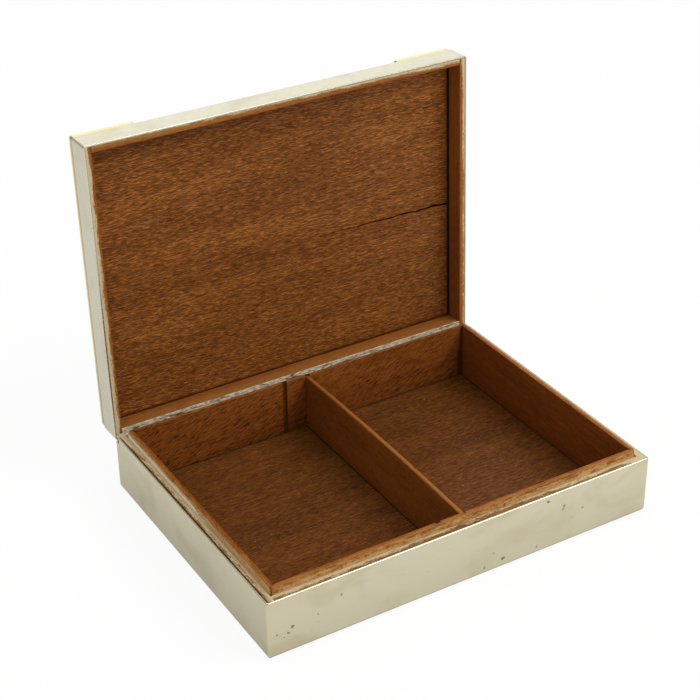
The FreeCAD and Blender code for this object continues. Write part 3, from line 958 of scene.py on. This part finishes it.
def hinge_pieces():
    """The hinge's leaves, knuckles and pin under their crust: boards, tubes on webs and a rod."""
    for leaf in ("hinge_base_leaf", "hinge_lid_leaf"):
        low, high = span(leaf)
        make_piece(leaf, rounded_board(low, high, 0.12, (3.0, 0.5, 0.5)), crust, {})
    reach = span("hinge_base_knuckles")[1][0]
    pitch = reach - span("hinge_lid_knuckles")[1][0]
    gap = KNUCKLES * pitch - 2 * reach
    bore, radius, web, web_start, inset, pin_radius = 0.55, 1.1, 0.6, 0.75, 0.05, 0.5
    for name, first, leaf_face in (
        ("hinge_base_knuckles", 0, span("hinge_base_leaf")[1][2]),
        ("hinge_lid_knuckles", 1, span("hinge_lid_leaf")[0][2]),
    ):
        grids = []
        inside = hinge_axis[2] + math.copysign(web_start, leaf_face - hinge_axis[2])
        for number in range(first, KNUCKLES, 2):
            start = -reach + number * pitch
            end = start + pitch - gap
            grids.append(tube(start, end, bore, radius, 0.18))
            low = np.array([start + inset, hinge_axis[1] - web, min(inside, leaf_face)])
            high = np.array([end - inset, hinge_axis[1] + web, max(inside, leaf_face)])
            grids += rounded_board(low, high, 0.05, (4.0, 0.6, 0.6))
        make_piece(name, grids, crust, {})
    left, right = (end[0] for end in span("hinge_pin"))
    rod = rounded_line([(left, 0, 0), (left, pin_radius, 0.2), (right, pin_radius, 0.2), (right, 0, 0)])
    make_piece("hinge_pin", [turned(rod)], crust, {})


base_shell()
lid_shell()
brass_bands()
base_ledges()
divider_middle = (span("divider")[0][0] + span("divider")[1][0]) / 2
spare_middle = divider_middle - SPARE_GROOVE
lining_board("front", 0, lining_wood, (divider_middle, spare_middle), (5, 3, 20))
lining_board("right", 90, lining_wood, (), (95, 28, 41))
lining_board("back", 180, back_wood, (-divider_middle, -spare_middle), (33, 51, 8))
lining_board("left", 270, lining_wood, (), (150, 12, 66))
divider_board()
floor_of_box()
foot_of_box()
lid_strips()
lid_board()
hinge_pieces()


def studio_floor():
    """A pale floor that stays white to the camera and keeps a faint shadow."""
    mesh = bpy.data.meshes.new("floor")
    size, under = 3.0, -0.05 * MM
    corners = [(-size, -size, under), (size, -size, under), (size, size, under), (-size, size, under)]
    mesh.from_pydata(corners, [], [(0, 1, 2, 3)])
    floor = bpy.data.objects.new("floor", mesh)
    bpy.context.scene.collection.objects.link(floor)
    material, tree, shader = new_material("floor_white")
    tree.nodes.remove(shader)
    grey = noise(tree, stretch(tree, object_place(tree), (3.0, 3.0, 3.0)))
    paper = mix(tree, grey, (0.86, 0.86, 0.86, 1), (0.9, 0.9, 0.9, 1))
    matt = node(tree, "ShaderNodeBsdfDiffuse", {"Color": paper}).outputs[0]
    white = node(tree, "ShaderNodeEmission", {"Color": (1, 1, 1, 1), "Strength": 1.0}).outputs[0]
    path = node(tree, "ShaderNodeLightPath").outputs
    to_camera, to_gloss = 0.93, 0.35
    seen = times(tree, path["Is Camera Ray"], to_camera)
    seen = calc(tree, "ADD", seen, times(tree, path["Is Glossy Ray"], to_gloss))
    shown = node(tree, "ShaderNodeMixShader", {0: seen, 1: matt, 2: white}).outputs[0]
    tree.links.new(shown, tree.nodes["Material Output"].inputs["Surface"])
    mesh.materials.append(material)


def studio_light():
    """An even sky that is white to the camera, and three soft lamps aimed at the box."""
    world = bpy.data.worlds.new("sky")
    bpy.context.scene.world = world
    world.use_nodes = True
    sky = world.node_tree
    path = node(sky, "ShaderNodeLightPath").outputs
    seen = calc(sky, "MAXIMUM", path["Is Camera Ray"], path["Is Transmission Ray"])
    sky_level = 0.48
    strength = calc(sky, "ADD", times(sky, seen, 1 - sky_level), sky_level)
    back = sky.nodes["Background"]
    back.inputs["Color"].default_value = (1.0, 0.99, 0.97, 1)
    sky.links.new(strength, back.inputs["Strength"])
    aim = Vector((0, 0, 0.05))
    lamps = {
        "key": ((0.6, -0.6, 1.0), 0.8, 9.6),
        "top": ((-0.1, 0.3, 1.2), 0.8, 3.0),
        "back": ((0.7, 1.25, 0.95), 1.2, 4.0),
    }
    for name, (position, width, power) in lamps.items():
        data = bpy.data.lights.new(name, "AREA")
        data.size, data.energy = width, power
        lamp = bpy.data.objects.new(name, data)
        lamp.location = position
        lamp.rotation_euler = (aim - Vector(position)).to_track_quat("-Z", "Y").to_euler()
        bpy.context.scene.collection.objects.link(lamp)


def camera():
    """The photograph's view: where the camera stands, the way it looks and its slight roll."""
    data = bpy.data.cameras.new("camera")
    data.lens, data.sensor_width = 87.54, 36
    data.clip_start = 0.01
    eye = bpy.data.objects.new("camera", data)
    azimuth, elevation, roll = math.radians(30.763), math.radians(-30.588), math.radians(0.751)
    turn = Matrix.Rotation(-azimuth, 4, "Z") @ Matrix.Rotation(math.pi / 2 + elevation, 4, "X")
    stand = Matrix.Translation((-0.286726, -0.461298, 0.388668))
    eye.matrix_world = stand @ turn @ Matrix.Rotation(-roll, 4, "Z")
    bpy.context.scene.collection.objects.link(eye)
    bpy.context.scene.camera = eye


studio_floor()
studio_light()
camera()
bpy.context.scene.view_settings.view_transform = "Standard"
